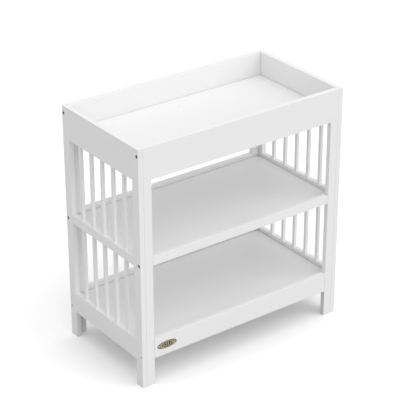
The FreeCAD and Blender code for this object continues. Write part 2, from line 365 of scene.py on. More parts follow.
@dataclass(frozen=True)
class SatinPaint(WhitePaint):
    """White satin paint on a board, with the wood's grain showing through very faintly."""

    slot = "painted_wood"
    grain: Axis = Axis.X
    pores_per_metre: float = 240.0
    pore_span: Span = (0.36, 0.58)    # the grain noise from pore to plain wood
    pore_colour: Colour = (0.70, 0.69, 0.67, 1.0)
    pore_strength: float = 0.05
    length_ratio: float = 0.035    # how much coarser the grain is along the board
    grain_sharpness: float = 0.62
    roughness: Span = (0.46, 0.38)    # in the pores and on plain wood
    clouds_per_metre: float = 5.0
    stipple_per_metre: float = 1400.0
    grain_relief: float = 0.00004
    stipple_relief: float = 0.000012

    @property
    def name(self) -> str:
        """The material's name, with the grain's axis."""
        return f"satin_paint_along_{self.grain.name.lower()}"

    def coat(self, sheet: NodeSheet, shader: Node) -> None:
        """Faint grain, roller stipple and slow changes of tone."""
        stretch = [1.0, 1.0, 1.0]
        stretch[self.grain.value] = self.length_ratio
        grain = sheet.noise(self.pores_per_metre, 5.0, tuple(stretch), self.grain_sharpness)
        pores = sheet.span(grain, 0.0, 1.0, self.pore_span)
        tone = self.tone(sheet, sheet.noise(self.clouds_per_metre, 2.0))
        stipple = sheet.noise(self.stipple_per_metre, 2.0)
        sheet.feed(shader, {
            "Base Color": sheet.mix(sheet.span(pores, self.pore_strength, 0.0), tone, self.pore_colour),
            "Roughness": sheet.span(grain, *self.roughness)})
        self.bump(sheet, shader, ((pores, self.grain_relief), (stipple, self.stipple_relief)))


@dataclass(frozen=True)
class PanelPaint(WhitePaint):
    """White satin paint sprayed on fibreboard: no grain, only a fine orange peel."""

    slot = "painted_panel"
    clouds_per_metre: float = 4.0
    peel_per_metre: float = 650.0
    roughness: Span = (0.48, 0.40)
    peel_relief: float = 0.00002

    def coat(self, sheet: NodeSheet, shader: Node) -> None:
        """Slow clouds in tone and gloss, and the orange peel as bump."""
        clouds = sheet.noise(self.clouds_per_metre)
        peel = sheet.noise(self.peel_per_metre, 2.0)
        sheet.feed(shader, {"Base Color": self.tone(sheet, clouds),
                            "Roughness": sheet.span(clouds, *self.roughness)})
        self.bump(sheet, shader, ((peel, self.peel_relief),))


@dataclass(frozen=True)
class BareBeech(Finish):
    """Unpainted beech, as the dowels are."""

    slot = "bare_beech"
    warm: Colour = (0.50, 0.32, 0.17, 1.0)
    pale: Colour = (0.60, 0.42, 0.25, 1.0)
    fleck_colour: Colour = (0.30, 0.17, 0.08, 1.0)
    flecks_per_metre: float = 900.0
    fleck_stretch: Point = (0.1, 1.0, 1.0)
    fleck_span: Span = (0.5, 0.7)
    fleck_strength: float = 0.5
    clouds_per_metre: float = 30.0
    roughness: float = 0.7
    relief: float = 0.00005

    def coat(self, sheet: NodeSheet, shader: Node) -> None:
        """Fine flecks on a warm ground."""
        fleck = sheet.noise(self.flecks_per_metre, 4.0, self.fleck_stretch)
        ground = sheet.mix(sheet.noise(self.clouds_per_metre), self.warm, self.pale)
        strength = sheet.span(fleck, 0.0, self.fleck_strength, self.fleck_span)
        sheet.feed(shader, {"Base Color": sheet.mix(strength, ground, self.fleck_colour),
                            "Roughness": self.roughness})
        self.bump(sheet, shader, ((fleck, self.relief),))


@dataclass(frozen=True)
class PatchyMetal(Finish):
    """A metal whose colour and gloss change in soft patches."""

    dark: Colour
    bright: Colour
    patches_per_metre: float
    detail: float
    patch_span: Span    # the patch noise from dark to bright
    roughness: Span
    metallic: float
    relief: float

    def coat(self, sheet: NodeSheet, shader: Node) -> None:
        """Two shades of metal, mixed by the patches."""
        patches = sheet.noise(self.patches_per_metre, self.detail)
        brightness = sheet.span(patches, 0.0, 1.0, self.patch_span)
        sheet.feed(shader, {"Base Color": sheet.mix(brightness, self.dark, self.bright),
                            "Roughness": sheet.span(patches, *self.roughness),
                            "Metallic": self.metallic})
        self.bump(sheet, shader, ((patches, self.relief),))


@dataclass(frozen=True)
class BlackenedSteel(PatchyMetal):
    """Oil-blackened steel with rubbed patches, as the large bolts are."""

    slot = "blackened_steel"
    dark: Colour = (0.075, 0.075, 0.08, 1.0)
    bright: Colour = (0.20, 0.20, 0.205, 1.0)
    patches_per_metre: float = 420.0
    detail: float = 4.0
    patch_span: Span = (0.5, 0.75)
    roughness: Span = (0.5, 0.32)
    metallic: float = 0.9
    relief: float = 0.00003


@dataclass(frozen=True)
class ZincSteel(PatchyMetal):
    """Zinc-plated steel, as the small bolts, the inserts and the screws are."""

    slot = "zinc_steel"
    dark: Colour = (0.26, 0.27, 0.28, 1.0)
    bright: Colour = (0.46, 0.46, 0.45, 1.0)
    patches_per_metre: float = 260.0
    detail: float = 5.0
    patch_span: Span = (0.0, 1.0)
    roughness: Span = (0.30, 0.46)
    metallic: float = 1.0
    relief: float = 0.00001


@dataclass(frozen=True)
class AntiqueBrass(Finish):
    """Brass with dark patina left in the low parts and rubbed off the high ones."""

    slot = "antique_brass"
    relief_attribute: str = "relief"    # 0 in the recesses, 1 on the highest parts
    patina_colour: Colour = (0.035, 0.028, 0.022, 1.0)
    brass_colour: Colour = (0.86, 0.77, 0.55, 1.0)
    blotches_per_metre: float = 300.0
    blotch_strength: float = 0.3
    blotch_span: Span = (0.35, 0.65)
    speckles_per_metre: float = 1600.0
    speckle_strength: float = 0.18
    roughness: Span = (0.6, 0.36)     # in the recesses and on the highest parts
    metallic: float = 0.85
    speckle_relief: float = 0.00003

    def coat(self, sheet: NodeSheet, shader: Node) -> None:
        """Colour and gloss by height, broken up by blotches of patina and by speckles."""
        height = sheet.out("ShaderNodeAttribute", "Fac", attribute_name=self.relief_attribute)
        speckle = sheet.noise(self.speckles_per_metre, 4.0)
        patina = sheet.noise(self.blotches_per_metre, 2.0)
        blotches = sheet.span(patina, -self.blotch_strength, self.blotch_strength, self.blotch_span)
        speckles = sheet.span(speckle, -self.speckle_strength, self.speckle_strength)
        blotched = sheet.out("ShaderNodeMath", "Value", {0: height, 1: blotches}, operation="ADD")
        rubbed = sheet.out("ShaderNodeMath", "Value", {0: blotched, 1: speckles}, operation="ADD",
                           use_clamp=True)
        sheet.feed(shader, {"Base Color": sheet.mix(rubbed, self.patina_colour, self.brass_colour),
                            "Roughness": sheet.span(rubbed, *self.roughness),
                            "Metallic": self.metallic})
        self.bump(sheet, shader, ((speckle, self.speckle_relief),))


@dataclass(frozen=True)
class StudioFloor(Finish):
    """A plain matt sheet in one shade, for the studio, which may also glow evenly as painted light."""

    shade: float = 0.98
    # painted light: an even emission that lifts the sheet's shadows
    glow: float = 0.0

    @property
    def name(self) -> str:
        """The material's name, with its shade in hundredths."""
        return f"studio_floor_{round(100 * self.shade)}"

    def coat(self, sheet: NodeSheet, shader: Node) -> None:
        """A matt shade with no pattern, plus an even painted glow that lifts its shadows."""
        sheet.feed(shader, {"Base Color": grey(self.shade), "Roughness": 1.0,
                            "Specular IOR Level": 0.0, "Emission Color": grey(1.0),
                            "Emission Strength": self.glow})


# ---- Mesh work -----------------------------------------------------------------------------

def new_object(name: str, data: bpy.types.ID) -> Piece:
    """Put a mesh, a light or a camera into the scene as an object at the origin."""
    piece = bpy.data.objects.new(name, data)
    bpy.context.scene.collection.objects.link(piece)
    return piece


def remove(piece: Piece) -> None:
    """Delete a working object and its mesh."""
    mesh = piece.data
    bpy.data.objects.remove(piece)
    if mesh.users == 0:
        bpy.data.meshes.remove(mesh)


def evaluated_mesh(piece: Piece) -> Mesh:
    """The piece's mesh with its modifiers applied, as a new mesh."""
    bpy.context.view_layer.update()
    graph = bpy.context.evaluated_depsgraph_get()
    return bpy.data.meshes.new_from_object(piece.evaluated_get(graph), preserve_all_data_layers=True,
                                           depsgraph=graph)


def mesh_from(work: bmesh.types.BMesh, name: str) -> Mesh:
    """Turn a finished bmesh into a mesh, and free it."""
    mesh = bpy.data.meshes.new(name)
    work.to_mesh(mesh)
    work.free()
    return mesh


def face_outwards(mesh: Mesh) -> None:
    """Weld doubles and turn every face of the closed shells outwards."""
    work = bmesh.new()
    work.from_mesh(mesh)
    bmesh.ops.remove_doubles(work, verts=work.verts, dist=WELD)
    bmesh.ops.recalc_face_normals(work, faces=work.faces)
    work.to_mesh(mesh)
    work.free()


def crisp(mesh: Mesh, angle: float = 38.0) -> None:
    """Shade a mesh smooth, with edges over an angle in degrees kept sharp."""
    mesh.shade_smooth()
    mesh.set_sharp_from_angle(angle=math.radians(angle))


def flatten_faces(piece: Piece) -> None:
    """Weight the normals by face area, so large flats stay flat beside their rounded edges."""
    modifier = piece.modifiers.new("flats", "WEIGHTED_NORMAL")
    modifier.keep_sharp = True
    modifier.weight = 100
    swap_mesh(piece, evaluated_mesh(piece))


def swap_mesh(piece: Piece, mesh: Mesh) -> None:
    """Give a piece a new mesh and drop its modifiers and its old mesh."""
    old = piece.data
    piece.modifiers.clear()
    piece.data = mesh
    mesh.name = piece.name
    bpy.data.meshes.remove(old)


def oval(half_x: float, half_y: float, count: int) -> list[Flat]:
    """Points round an oval, anticlockwise from +X."""
    turns = (math.tau * i / count for i in range(count))
    return [(half_x * math.cos(turn), half_y * math.sin(turn)) for turn in turns]


def join_rings(work: bmesh.types.BMesh, rings: Sequence[Ring]) -> None:
    """Join each ring of vertices to the next with faces.

    Args:
        work: the mesh that the rings are in.
        rings: rings of the same length, or of a single vertex at a pole.
    """
    for near, far in zip(rings, rings[1:]):
        count = max(len(near), len(far))
        for i in range(count):
            j = (i + 1) % count
            corners = [near[i % len(near)], near[j % len(near)], far[j % len(far)], far[i % len(far)]]
            work.faces.new(list(dict.fromkeys(corners)))


def cap_rings(work: bmesh.types.BMesh, rings: Sequence[Ring]) -> None:
    """Close the first and the last ring with a face each."""
    work.faces.new(rings[0][::-1])
    work.faces.new(rings[-1])


def lathe_mesh(name: str, profile: Sequence[Flat], segments: int = 32) -> Mesh:
    """Turn a profile about Z.

    Args:
        name: the mesh's name.
        profile: points as (radius, height), from the bottom pole to the top pole.
        segments: the number of facets round the axis.

    Returns:
        A closed mesh.
    """
    work = bmesh.new()
    rings = []
    for radius, height in profile:
        corners = oval(radius, radius, segments) if radius else [(0.0, 0.0)]
        rings.append([work.verts.new((x, y, height)) for x, y in corners])
    join_rings(work, rings)
    bmesh.ops.recalc_face_normals(work, faces=work.faces)
    return mesh_from(work, name)


def prism_mesh(name: str, corners: Sequence[Flat], low: float, high: float) -> Mesh:
    """A straight prism along Z over an outline in the XY plane.

    Args:
        name: the mesh's name.
        corners: the outline's corners, anticlockwise.
        low: the lower end's height.
        high: the upper end's height.

    Returns:
        A closed mesh.
    """
    work = bmesh.new()
    rings = [[work.verts.new((x, y, z)) for x, y in corners] for z in (low, high)]
    join_rings(work, rings)
    cap_rings(work, rings)
    return mesh_from(work, name)


def carve(piece: Piece, cutter_mesh: Mesh) -> None:
    """Cut a closed shape, which is used up, out of a piece."""
    cutter = new_object(piece.name + "_cutter", cutter_mesh)
    modifier = piece.modifiers.new("cut", "BOOLEAN")
    modifier.operation = "DIFFERENCE"
    modifier.solver = "EXACT"
    modifier.object = cutter
    swap_mesh(piece, evaluated_mesh(piece))
    remove(cutter)


def looking_along(centre: Vector, direction: Vector) -> Matrix:
    """A matrix that moves the origin to a centre and turns Z to a direction."""
    return Matrix.Translation(centre) @ direction.to_track_quat("Z", "Y").to_matrix().to_4x4()


def install(piece: Piece, finish: Finish, *nodes: str) -> Piece:
    """Finish a piece: its material, its body and the CAD nodes it stands for.

    Args:
        piece: the piece, in place.
        finish: its finish.
        *nodes: the CAD nodes that it replaces.

    Returns:
        The piece.
    """
    if not piece.data.materials:
        piece.data.materials.append(finish.material())
    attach(piece, ROOT)
    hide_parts(*nodes)
    LOG.info("%s: %d faces for %s", piece.name, len(piece.data.polygons), ", ".join(nodes))
    return piece


def refinish(node: str, finish: Finish) -> None:
    """Give a CAD node that stays in view a better material."""
    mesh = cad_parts[node].data
    mesh.materials.clear()
    mesh.materials.append(finish.material())
    LOG.info("%s: kept from the frame in %s", node, finish.name)


# ---- Boards --------------------------------------------------------------------------------

@dataclass(frozen=True)
class Recess:
    """A round recess for a bolt head, with an eased mouth and a clearance hole behind it."""

    mouth: Vector
    outward: Vector
    radius: float
    depth: float
    hole_radius: float
    hole_depth: float = 12 * MM
    ease: float = 0.35 * MM
    ease_steps: int = 3

    def cutter(self) -> Mesh:
        """The shape to take out of a board, in place."""
        mouth = [(self.radius + self.ease * (1 - math.cos(turn)), -self.ease * (1 - math.sin(turn)))
                 for turn in (math.pi / 2 * i / self.ease_steps for i in range(self.ease_steps + 1))]
        wide = self.radius + self.ease
        profile = [(0, -self.depth - self.hole_depth), (self.hole_radius, -self.depth - self.hole_depth),
                   (self.hole_radius, -self.depth), (self.radius, -self.depth), *mouth,
                   (wide, OVERSHOOT), (0, OVERSHOOT)]
        mesh = lathe_mesh("recess", profile)
        mesh.transform(looking_along(self.mouth, self.outward))
        return mesh


@dataclass
class Board:
    """A flat board with eased edges, the size of one CAD node."""

    name: str
    node: str
    finish: Finish
    ease: float = 1.0 * MM
    ease_steps: int = 3
    joint_gap: Point = (0.0, 0.0, 0.0)    # how far each end stays back from the node's, per axis
    recesses: list[Recess] = field(default_factory=list)

    def build(self) -> Piece:
        """Make the board in its CAD node's place.

        Returns:
            The installed board.
        """
        low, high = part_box(self.node)
        work = bmesh.new()
        bmesh.ops.create_cube(work, size=1.0)
        size = high - low - 2 * Vector(self.joint_gap)
        bmesh.ops.transform(work, verts=work.verts,
                            matrix=Matrix.Translation((low + high) / 2) @ Matrix.Diagonal(size).to_4x4())
        bmesh.ops.bevel(work, geom=work.edges[:], offset=self.ease, segments=self.ease_steps,
                        profile=0.5, affect="EDGES")
        piece = new_object(self.name, mesh_from(work, self.name))
        for recess in self.recesses:
            carve(piece, recess.cutter())
        crisp(piece.data)
        flatten_faces(piece)
        return install(piece, self.finish, self.node)


# ---- Connector bolts -----------------------------------------------------------------------

@dataclass(frozen=True)
class BoltSize:
    """A connector bolt and its recess."""

    node: str
    name: str
    finish: Finish
    head_radius: float
    head_height: float
    shank_radius: float
    shank: float
    socket: float
    recess_radius: float
    recess_depth: float
    chamfer: float = 0.5 * MM
    socket_depth: float = 2.5 * MM
    thread_pitch: float = 1.0 * MM
    thread_depth: float = 0.35 * MM
    threads: int = 22
    segments: int = 24

    def pattern(self) -> Piece:
        """One bolt with its head's bearing face at the origin, pointing its head along +Z."""
        top = self.head_height
        profile = [(0, -self.shank), (self.shank_radius - self.chamfer, -self.shank)]
        height = -self.shank + self.chamfer
        for _ in range(self.threads):
            profile.append((self.shank_radius - self.thread_depth, height))
            profile.append((self.shank_radius, height + self.thread_pitch / 2))
            height += self.thread_pitch
        profile += [(self.shank_radius, height), (self.shank_radius, 0), (self.head_radius, 0),
                    (self.head_radius, top - self.chamfer), (self.head_radius - self.chamfer, top),
                    (0, top)]
        bolt = new_object(self.name + "_pattern", lathe_mesh(self.name, profile, self.segments))
        corner = self.socket / math.sqrt(3)
        carve(bolt, prism_mesh("socket", oval(corner, corner, 6), top - self.socket_depth,
                               top + OVERSHOOT))
        return bolt


class BoltWork:
    """Bolts and screws: copies of one pattern, set at points that say which way they face."""

    def __init__(self) -> None:
        """Build the tree that sets a pattern at each point."""
        self.tree = Grower("set_fasteners")
        sheet = self.tree.sheet
        pattern, seed = self.tree.inputs(Pattern="Object", Seed="Int")
        facing = self.tree.attribute("facing", "FLOAT_VECTOR")
        turn = sheet.out("FunctionNodeAlignRotationToVector", "Rotation", {"Vector": facing}, axis="Z")
        fastener = sheet.out("GeometryNodeObjectInfo", "Geometry", {"Object": pattern})
        copies = self.tree.copies(self.tree.entry.outputs[0], fastener, Rotation=turn)
        spin = sheet.out("FunctionNodeRandomValue", 1, {3: math.tau, "Seed": seed}, data_type="FLOAT")
        about = sheet.out("ShaderNodeCombineXYZ", "Vector", {"Z": spin})
        self.tree.end(sheet.out("GeometryNodeRotateInstances", "Instances",
                                {"Instances": copies, "Rotation": about}))

    def set(self, name: str, pattern: Piece, places: Places, finish: Finish, seed: int,
            *nodes: str) -> Piece:
        """Set a pattern at places.

        Args:
            name: the new piece's name.
            pattern: the fastener to copy; it is removed afterwards.
            places: where the copies go, and the ways that they face.
            finish: the finish of all copies.
            seed: fixes how each copy is turned about its own axis.
            *nodes: the CAD nodes that the piece stands for.

        Returns:
            The installed piece.
        """
        mesh = bpy.data.meshes.new(name + "_points")
        mesh.from_pydata([place for place, _ in places], [], [])
        facing = mesh.attributes.new("facing", "FLOAT_VECTOR", "POINT")
        facing.data.foreach_set("vector", [c for _, way in places for c in way])
        piece = self.tree.grow(name, finish, mesh, Pattern=pattern, Seed=seed)
        remove(pattern)
        return install(piece, finish, *nodes)


# ---- Sub-assemblies ------------------------------------------------------------------------

TRAY_BOLT = BoltSize("large_connector_bolts", "tray_bolts", BlackenedSteel(), 6.0 * MM, 4.5 * MM,
                     3.0 * MM, 45 * MM, 4.0 * MM, 6.5 * MM, 6.0 * MM)
MIDDLE_BOLT = replace(TRAY_BOLT, name="middle_bolts", shank=70 * MM)
SMALL_BOLT = BoltSize("small_connector_bolts", "bottom_bolts", ZincSteel(), 3.7 * MM, 4.0 * MM,
                      2.5 * MM, 70 * MM, 3.0 * MM, 4.0 * MM, 5.5 * MM)


@dataclass
class ConnectorBolts:
    """The bolts through the end frames, and the recesses that they sit in."""

    tray: BoltSize = TRAY_BOLT
    middle: BoltSize = MIDDLE_BOLT
    small: BoltSize = SMALL_BOLT
    seed: int = 11

    def heights(self) -> tuple[float, float, float]:
        """The heights of the tray bolts, the middle bolts and the bottom bolts."""
        low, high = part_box(self.tray.node)
        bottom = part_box(self.small.node)
        return (high.z - self.tray.head_radius, low.z + self.middle.head_radius,
                (bottom[0].z + bottom[1].z) / 2)

    def mouth(self, side: Side, face: Face, height: float) -> Vector:
        """The centre of a recess in the end frame's outer face."""
        post_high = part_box("right_rear_post")[1]
        rail_low, rail_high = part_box("rear_middle_rail")
        return Vector((side.value * post_high.x, face.value * (rail_low.y + rail_high.y) / 2, height))

    def recess(self, size: BoltSize, side: Side, face: Face, height: float) -> Recess:
        """The recess for one bolt."""
        return Recess(self.mouth(side, face, height), Vector((side.value, 0, 0)), size.recess_radius,
                      size.recess_depth, size.shank_radius)

    def tray_recesses(self, side: Side) -> list[Recess]:
        """The recesses in a tray end board."""
        return [self.recess(self.tray, side, face, self.heights()[0]) for face in Face]

    def post_recesses(self, side: Side, face: Face) -> list[Recess]:
        """The recesses in a post."""
        _, middle, bottom = self.heights()
        return [self.recess(self.middle, side, face, middle),
                self.recess(self.small, side, face, bottom)]

    def places(self, size: BoltSize, height: float) -> Places:
        """Where the bearing faces of the bolts at a height are, and the way the heads face."""
        return [(self.mouth(side, face, height) - Vector((side.value * size.recess_depth, 0, 0)),
                 Vector((side.value, 0, 0))) for side in Side for face in Face]

    def build(self, work: BoltWork) -> None:
        """Make the four bolts of each height."""
        for i, (size, height) in enumerate(zip((self.tray, self.middle, self.small), self.heights())):
            work.set(size.name, size.pattern(), self.places(size, height), size.finish, self.seed + i,
                     size.node)


@dataclass
class SlatRows:
    """The square slats of the end frames, one row per opening."""

    per_opening: int = 5
    ease: float = 0.8 * MM
    ease_steps: int = 3

    def tree(self) -> Grower:
        """The rule for a row: a rounded square drawn up to a height, repeated along Y."""
        grower = Grower("slat_row")
        sheet = grower.sheet
        count, pitch, section, height, ease, ease_steps, foot = grower.inputs(
            Count="Int", Pitch="Float", Section="Float", Height="Float", Ease="Float",
            Ease_Steps="Int", Foot="Vector")
        square = sheet.out("GeometryNodeCurvePrimitiveQuadrilateral", "Curve",
                           {"Width": section, "Height": section})
        rounded = sheet.out("GeometryNodeFilletCurve", "Curve",
                            {"Curve": square, "Radius": ease, "Count": ease_steps}, mode="POLY")
        top = sheet.out("ShaderNodeCombineXYZ", "Vector", {"Z": height})
        line = sheet.out("GeometryNodeCurvePrimitiveLine", "Curve", {"End": top})
        slat = sheet.out("GeometryNodeCurveToMesh", "Mesh",
                         {"Curve": line, "Profile Curve": rounded, "Fill Caps": True})
        step = sheet.out("ShaderNodeCombineXYZ", "Vector", {"Y": pitch})
        row = sheet.out("GeometryNodeMeshLine", "Mesh",
                        {"Count": count, "Start Location": foot, "Offset": step})
        grower.end(grower.copies(row, slat))
        return grower

    def build(self) -> None:
        """Make the four rows."""
        tree = self.tree()
        finish = SatinPaint(Axis.Z)
        openings = {"lower": ("bottom_end_rail", "middle_end_rail"),
                    "upper": ("middle_end_rail", "tray_end_board")}
        for side in Side:
            prefix = side.name.lower()
            for opening, (below, above) in openings.items():
                names = [f"{prefix}_{opening}_slat_{i + 1}" for i in range(self.per_opening)]
                low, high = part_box(names[0])
                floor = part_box(f"{prefix}_{below}")[1].z
                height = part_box(f"{prefix}_{above}")[0].z - floor
                foot = (low + high) / 2
                foot.z = floor
                piece = tree.grow(f"{prefix}_{opening}_slat_row", finish, Count=self.per_opening,
                                  Pitch=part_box(names[1])[0].y - low.y, Section=high.x - low.x,
                                  Height=height, Ease=self.ease, Ease_Steps=self.ease_steps, Foot=foot)
                flatten_faces(piece)
                install(piece, finish, *names)


@dataclass
class EndFrames:
    """The two end frames: L-shaped legs, tray end boards and end rails."""

    bolts: ConnectorBolts
    ease: float = 1.0 * MM
    strip_gap: float = 0.3 * MM      # the hairline joint between a leg's strip and its post
    rail_gap: float = 0.15 * MM

    def build(self) -> None:
        """Make every board of both end frames."""
        for side in Side:
            for face in Face:
                self.leg(side, face)
            prefix = side.name.lower()
            Board(f"{prefix}_tray_end", f"{prefix}_tray_end_board", SatinPaint(Axis.Y), self.ease,
                  recesses=self.bolts.tray_recesses(side)).build()
            for level in ("middle", "bottom"):
                Board(f"{prefix}_{level}_end", f"{prefix}_{level}_end_rail", SatinPaint(Axis.Y),
                      self.ease, joint_gap=(0.0, self.rail_gap, 0.0)).build()

    def leg(self, side: Side, face: Face) -> None:
        """Make the post and the strip of one leg."""
        prefix = f"{side.name}_{face.name}".lower()
        Board(f"{prefix}_leg_post", f"{prefix}_post", SatinPaint(Axis.Z), self.ease,
              recesses=self.bolts.post_recesses(side, face)).build()
        Board(f"{prefix}_leg_face_strip", f"{prefix}_leg_strip", SatinPaint(Axis.Z), self.ease,
              joint_gap=(self.strip_gap, 0.0, 0.0)).build()


@dataclass
class LongMembers:
    """The aprons and rails along the front and the rear."""

    ease: float = 1.0 * MM
    end_gap: float = 0.3 * MM        # the hairline joint at each end of a member

    def build(self) -> None:
        """Make the three members of each face."""
        for face in Face:
            prefix = face.name.lower()
            for member in ("tray_apron", "middle_rail", "bottom_apron"):
                Board(f"{prefix}_{member}_board", f"{prefix}_{member}", SatinPaint(Axis.X),
                      self.ease, joint_gap=(self.end_gap, 0.0, 0.0)).build()


@dataclass
class Panels:
    """The tray floor, with its strap hole, and the two shelves."""

    ease: float = 0.5 * MM
    tray_gap: float = 0.7 * MM       # the tray floor's extra clearance from the walls
    strap_hole_radius: float = 2.5 * MM
    strap_hole_inset: float = 60 * MM
    hole_ease: float = 0.4 * MM

    def strap_hole(self) -> Recess:
        """The through hole for the strap's screw."""
        low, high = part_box("tray_floor")
        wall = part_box("rear_tray_apron")[0].y
        return Recess(Vector((0, wall - self.strap_hole_inset, high.z)), Vector((0, 0, 1)),
                      self.strap_hole_radius, (high.z - low.z) / 2, self.strap_hole_radius,
                      ease=self.hole_ease)

    def build(self) -> None:
        """Make the three panels."""
        Board("tray_floor_panel", "tray_floor", PanelPaint(), self.ease,
              joint_gap=(self.tray_gap, self.tray_gap, 0.0), recesses=[self.strap_hole()]).build()
        for level in (Level.MIDDLE, Level.LOWER):
            Board(f"{level.value}_shelf_panel", f"{level.value}_shelf", PanelPaint(), self.ease).build()


@dataclass
class Cleats:
    """The cleats under the panels, and the screws through them."""

    head_radius: float = 4.0 * MM
    shank_radius: float = 2.0 * MM
    head_length: float = 3.0 * MM
    shank_reach: float = 12.0 * MM       # length of a cleat screw past the cleat
    panel_reach: float = 6.0 * MM        # length of a panel screw past the cleat
    cross_width: float = 1.1 * MM
    cross_span: float = 4.4 * MM
    cross_depth: float = 1.6 * MM
    tip_length: float = 3.0 * MM
    tip_share: float = 0.4               # a screw's radius at the tip, of its shank's
    root_share: float = 0.72             # and between its threads
    thread_pitch: float = 1.8 * MM
    neck: float = 3.0 * MM               # the plain length under the head
    head_chamfer: float = 0.1 * MM
    segments: int = 20
    long_screw_x: tuple[float, ...] = (-0.3, -0.1, 0.1, 0.3)
    panel_screw_x: tuple[float, ...] = (-0.2, 0.2)
    panel_screw_inset: float = 11 * MM
    seed: int = 5

    def screw(self, name: str, length: float) -> Piece:
        """A countersunk screw with a cross recess, its head's flat face at the origin.

        Args:
            name: the working object's name.
            length: the screw's whole length.

        Returns:
            The pattern object.
        """
        profile = [(0, -length), (self.shank_radius * self.tip_share, self.tip_length * 2 / 3 - length)]
        height = self.tip_length - length
        while height < -self.head_length - self.neck:
            profile.append((self.shank_radius * self.root_share, height))
            profile.append((self.shank_radius, height + self.thread_pitch / 3))
            height += self.thread_pitch
        edge, chamfer = self.head_radius - self.head_chamfer, self.head_chamfer
        profile += [(self.shank_radius, -self.head_length), (edge - chamfer / 2, -2.5 * chamfer),
                    (edge, -chamfer), (edge - 1.5 * chamfer, 0), (0, 0)]
        pattern = new_object(name, lathe_mesh(name, profile, self.segments))
        half, wide = self.cross_span / 2, self.cross_width / 2
        for x, y in ((half, wide), (wide, half)):
            outline = [(-x, -y), (x, -y), (x, y), (-x, y)]
            carve(pattern, prism_mesh("slot", outline, -self.cross_depth, OVERSHOOT))
        return pattern

    def cleat_screws(self, level: Level) -> Places:
        """Places and ways of the screws through the four cleats of a level."""
        places = []
        for face in Face:
            low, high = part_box(f"{face.name.lower()}_{level.value}_cleat")
            inner = low.y if face is Face.REAR else high.y
            for x in self.long_screw_x:
                places.append((Vector((x, inner, (low.z + high.z) / 2)), Vector((0, -face.value, 0))))
        ends_low, ends_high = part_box(f"{level.value}_end_cleats")
        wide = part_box(f"rear_{level.value}_cleat")
        inner_x = ends_high.x - (wide[1].y - wide[0].y)
        first, second = (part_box(f"left_upper_slat_{i}") for i in (1, 2))
        screw_y = abs(first[0].y + first[1].y + second[0].y + second[1].y) / 4
        for side in Side:
            for y in (-screw_y, screw_y):
                places.append((Vector((side.value * inner_x, y, (ends_low.z + ends_high.z) / 2)),
                               Vector((-side.value, 0, 0))))
        return places

    def panel_screws(self, level: Level) -> Places:
        """Places and ways of the screws up into a level's panel."""
        low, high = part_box(f"rear_{level.value}_cleat")
        y = high.y - self.panel_screw_inset
        return [(Vector((x, face.value * y, low.z)), Vector((0, 0, -1)))
                for face in Face for x in self.panel_screw_x]

    def build(self, work: BoltWork) -> None:
        """Dress the cleats and make their screws."""
        for level in Level:
            for face in Face:
                refinish(f"{face.name.lower()}_{level.value}_cleat", SatinPaint(Axis.X))
            refinish(f"{level.value}_end_cleats", SatinPaint(Axis.Y))
        low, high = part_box("rear_middle_cleat")
        self.screws(work, "cleat_screws", high.y - low.y + self.shank_reach, self.cleat_screws)
        self.screws(work, "panel_screws", high.z - low.z + self.panel_reach, self.panel_screws)

    def screws(self, work: BoltWork, node: str, length: float,
               places_of: Callable[[Level], Places]) -> None:
        """Make the screws of one kind.

        Args:
            work: the tree that sets fasteners.
            node: the CAD node that they stand for.
            length: their whole length, the same at every level.
            places_of: the method that gives a level's places.
        """
        places = [place for level in Level for place in places_of(level)]
        pattern = self.screw(node + "_pattern", length)
        work.set(node + "_set", pattern, places, ZincSteel(), self.seed, node)


